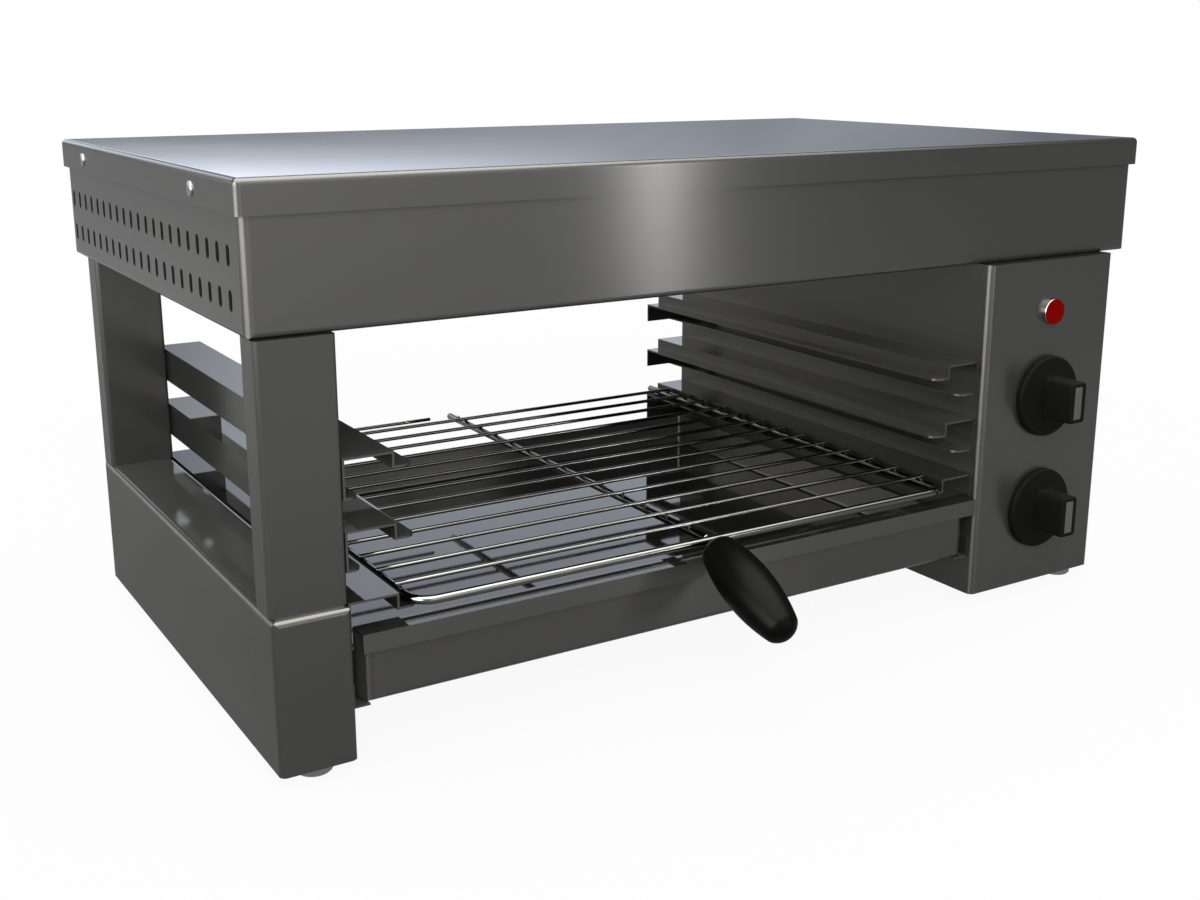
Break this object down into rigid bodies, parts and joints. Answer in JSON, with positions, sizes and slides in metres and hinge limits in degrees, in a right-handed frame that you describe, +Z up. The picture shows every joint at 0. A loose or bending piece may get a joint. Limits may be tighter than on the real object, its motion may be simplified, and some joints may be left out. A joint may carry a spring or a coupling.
{
  "type": "cheese melter",
  "caption": "Counter-top cheese melter: slotted heater hood on posts and a control housing, wire grid with a handle on stacked runners, crumb tray, rotary knobs",
  "frame": {"origin": "middle of the part's bounding box in plan, on the table that the feet stand on", "axes": "+X along the width towards the control housing, +Y from the operator to the rear, +Z up"},
  "size_m": [0.6044, 0.4298, 0.295],
  "materials": {
    "brushed": "dark brushed stainless sheet",
    "tray_steel": "bright rolled stainless sheet",
    "plain_steel": "plain bright sheet, unseen inside",
    "chrome_wire": "polished chrome wire",
    "heater_sheath": "dull heat-darkened metal sheath",
    "black_grip": "satin black heat-resistant plastic",
    "pale_inlay": "satin grey plastic",
    "red_lens": "glossy red plastic",
    "inner_plastic": "matte dark plastic",
    "ceramic": "glazed pale insulating body"
  },
  "bodies": {
    "body": {"lid": "brushed", "lid_screws": "chrome_wire", "hood_shell": "brushed", "reflector": "plain_steel", "heating_element_front": "heater_sheath", "heating_element_rear": "heater_sheath", "element_strap_left": "plain_steel", "element_strap_right": "plain_steel", "front_post": "brushed", "rear_post": "brushed", "base_box": "brushed", "base_floor": "plain_steel", "control_housing": "brushed", "housing_floor": "plain_steel", "side_cover": "brushed", "cover_screws": "chrome_wire", "foot_front_left": "plain_steel", "foot_rear_left": "plain_steel", "foot_front_right": "plain_steel", "foot_rear_right": "plain_steel", "ledge_left": "brushed", "ledge_right": "brushed", "cross_member_front": "plain_steel", "cross_member_rear": "plain_steel", "lamp_bezel": "chrome_wire", "lamp_lens": "red_lens", "lamp_body": "inner_plastic", "regulator_upper": "inner_plastic", "regulator_lower": "inner_plastic", "terminal_block": "ceramic", "cable_gland": "inner_plastic", "runner_left_upper": "brushed", "runner_left_middle": "brushed", "runner_left_lower": "brushed", "runner_right_upper": "brushed", "runner_right_middle": "brushed", "runner_right_lower": "brushed"},
    "tray": {"crumb_tray": "tray_steel", "tray_rail": "brushed"},
    "grid": {"grid_frame": "chrome_wire", "grid_cross_wires": "chrome_wire", "grid_rod": "chrome_wire", "handle_stud": "chrome_wire", "handle": "black_grip"},
    "knob_upper": {"knob_upper": "black_grip", "knob_inlay_upper": "pale_inlay", "shaft_upper": "chrome_wire"},
    "knob_lower": {"knob_lower": "black_grip", "knob_inlay_lower": "pale_inlay", "shaft_lower": "chrome_wire"}
  },
  "joints": [
    {"name": "tray_slide", "type": "slide", "parent": "body", "child": "tray", "axis": [0, -1, 0], "range_m": [0, 0.14]},
    {"name": "grid_slide", "type": "slide", "parent": "tray", "child": "grid", "axis": [0, -1, 0], "range_m": [0, 0.14]},
    {"name": "knob_upper_turn", "type": "hinge", "parent": "body", "child": "knob_upper", "pos_m": [0.22075, -0.14309, 0.134], "axis": [0, 1, 0], "range_deg": [0, 270]},
    {"name": "knob_lower_turn", "type": "hinge", "parent": "body", "child": "knob_lower", "pos_m": [0.22075, -0.14309, 0.0588], "axis": [0, 1, 0], "range_deg": [0, 270]}
  ]
}
